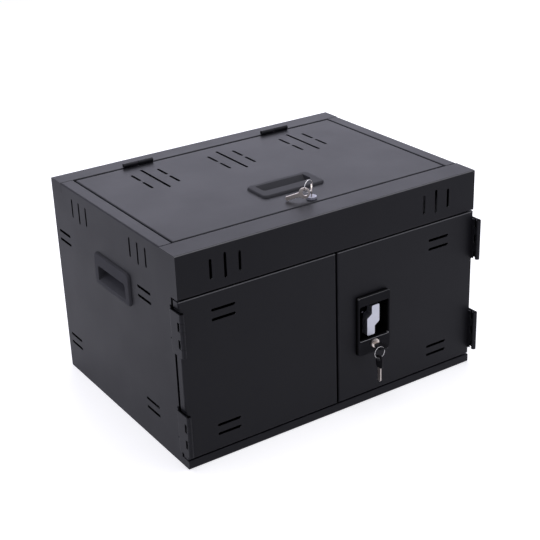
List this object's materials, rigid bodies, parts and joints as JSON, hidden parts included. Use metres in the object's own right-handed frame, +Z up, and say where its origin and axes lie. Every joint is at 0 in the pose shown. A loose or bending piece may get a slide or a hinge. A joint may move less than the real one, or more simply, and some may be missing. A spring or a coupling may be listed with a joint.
{
  "type": "charging station",
  "caption": "Steel charging cabinet with a hinged lid over a power compartment, double doors over divided device bays, a recessed turn handle with rod latch, and grips.",
  "frame": {"origin": "middle of the base's underside, on the surface the cabinet stands on", "axes": "+X along the front towards the door with the handle, +Y from the front to the back, +Z up"},
  "size_m": [0.612, 0.4851, 0.4131],
  "materials": {
    "powder_coat": "fine matt powder coat",
    "black_plastic": "moulded, lightly textured",
    "black_rubber": "matt",
    "zinc_steel": "bright zinc plated",
    "nickel_brass": "nickel plated brass, slightly worn",
    "cast_zinc": "light grey satin casting"
  },
  "bodies": {
    "cabinet": {"base_pan": "powder_coat", "left_side_panel": "powder_coat", "right_side_panel": "powder_coat", "back_panel": "powder_coat", "fascia": "powder_coat", "middle_shelf": "powder_coat", "divider_trays": "powder_coat", "left_dividers": "powder_coat", "right_dividers": "powder_coat", "cable_grommets": "black_rubber", "power_strip_case": "black_plastic", "power_strip_cover": "black_plastic", "inlet_socket": "black_plastic", "inlet_pins": "nickel_brass", "left_side_grip": "black_plastic", "right_side_grip": "black_plastic", "left_upper_frame_leaf": "powder_coat", "left_lower_frame_leaf": "powder_coat", "right_upper_frame_leaf": "powder_coat", "right_lower_frame_leaf": "powder_coat", "door_hinge_pins": "powder_coat", "left_lid_frame_leaf": "powder_coat", "right_lid_frame_leaf": "powder_coat", "lid_hinge_pins": "powder_coat"},
    "rocker": {"power_rocker": "black_plastic"},
    "left_door": {"left_door_panel": "powder_coat", "left_upper_door_leaf": "powder_coat", "left_lower_door_leaf": "powder_coat", "top_bolt_bracket": "zinc_steel", "bottom_bolt_bracket": "zinc_steel"},
    "top_bolt_slide": {"top_bolt": "zinc_steel"},
    "bottom_bolt_slide": {"bottom_bolt": "zinc_steel"},
    "right_door": {"right_door_panel": "powder_coat", "right_upper_door_leaf": "powder_coat", "right_lower_door_leaf": "powder_coat", "lock_escutcheon": "black_plastic", "lock_cylinder_body": "nickel_brass", "upper_rod_guide": "zinc_steel", "lower_rod_guide": "zinc_steel"},
    "lever": {"turn_lever": "cast_zinc", "crank_disc": "zinc_steel"},
    "upper_rod_slide": {"upper_rod": "zinc_steel"},
    "lower_rod_slide": {"lower_rod": "zinc_steel"},
    "door_plug": {"door_lock_plug": "nickel_brass", "door_key_blade": "nickel_brass", "door_key_head": "black_plastic"},
    "door_ring": {"door_key_ring": "zinc_steel"},
    "door_spare": {"door_spare_blade": "nickel_brass", "door_spare_head": "black_plastic"},
    "lid": {"lid_panel": "powder_coat", "left_lid_moving_leaf": "powder_coat", "right_lid_moving_leaf": "powder_coat", "lid_grip": "black_plastic", "lid_lock_body": "nickel_brass", "lid_lock_nut": "zinc_steel"},
    "lid_plug": {"lid_lock_plug": "nickel_brass", "lid_cam": "zinc_steel", "lid_key": "nickel_brass"},
    "lid_ring": {"lid_key_ring": "zinc_steel"},
    "lid_spare": {"lid_spare_key": "nickel_brass"}
  },
  "joints": [
    {"name": "lid_hinge", "type": "hinge", "parent": "cabinet", "child": "lid", "pos_m": [0, 0.17855, 0.3825], "axis": [-1, 0, 0], "range_deg": [0, 190]},
    {"name": "left_door_hinge", "type": "hinge", "parent": "cabinet", "child": "left_door", "pos_m": [-0.3018, -0.2328, 0.1595], "axis": [0, 0, -1], "range_deg": [0, 265]},
    {"name": "right_door_hinge", "type": "hinge", "parent": "cabinet", "child": "right_door", "pos_m": [0.3018, -0.2328, 0.1595], "axis": [0, 0, 1], "range_deg": [0, 250]},
    {"name": "lever_turn", "type": "hinge", "parent": "right_door", "child": "lever", "pos_m": [0.0734, -0.22, 0.159], "axis": [0, -1, 0], "range_deg": [0, 90]},
    {"name": "upper_rod_throw", "type": "slide", "parent": "right_door", "child": "upper_rod_slide", "axis": [0, 0, 1], "range_m": [0, 0.01302]},
    {"name": "lower_rod_throw", "type": "slide", "parent": "right_door", "child": "lower_rod_slide", "axis": [0, 0, -1], "range_m": [0, 0.01302]},
    {"name": "door_plug_turn", "type": "hinge", "parent": "right_door", "child": "door_plug", "pos_m": [0.0734, -0.2315, 0.1165], "axis": [0, 1, 0], "range_deg": [0, 90]},
    {"name": "door_ring_swing", "type": "hinge", "parent": "door_plug", "child": "door_ring", "pos_m": [0.0666, -0.251, 0.1165], "axis": [0, 1, 0], "range_deg": [-3, 12]},
    {"name": "door_spare_swing", "type": "hinge", "parent": "door_ring", "child": "door_spare", "pos_m": [0.0666, -0.251, 0.09835], "axis": [1, 0, 0], "range_deg": [-40, 33]},
    {"name": "left_bolt_top", "type": "slide", "parent": "left_door", "child": "top_bolt_slide", "axis": [0, 0, 1], "range_m": [0, 0.012]},
    {"name": "left_bolt_bottom", "type": "slide", "parent": "left_door", "child": "bottom_bolt_slide", "axis": [0, 0, -1], "range_m": [0, 0.012]},
    {"name": "lid_plug_turn", "type": "hinge", "parent": "lid", "child": "lid_plug", "pos_m": [0, -0.1525, 0.3825], "axis": [0, 0, 1], "range_deg": [0, 90]},
    {"name": "lid_ring_swing", "type": "hinge", "parent": "lid_plug", "child": "lid_ring", "pos_m": [0, -0.1525, 0.4], "axis": [0, 0, 1], "range_deg": [-30, 0]},
    {"name": "lid_spare_lift", "type": "hinge", "parent": "lid_ring", "child": "lid_spare", "pos_m": [-0.01229, -0.15626, 0.39266], "axis": [0.5736, 0.8191, 0], "range_deg": [0, 45]},
    {"name": "rocker_tilt", "type": "hinge", "parent": "cabinet", "child": "rocker", "pos_m": [-0.245, 0.2175, 0.351], "axis": [1, 0, 0], "range_deg": [-14, 0]}
  ],
  "couplings": [
    {"joint": "upper_rod_throw", "follows": "lever_turn", "m_per_rad": 0.008283},
    {"joint": "lower_rod_throw", "follows": "lever_turn", "m_per_rad": 0.008283}
  ]
}
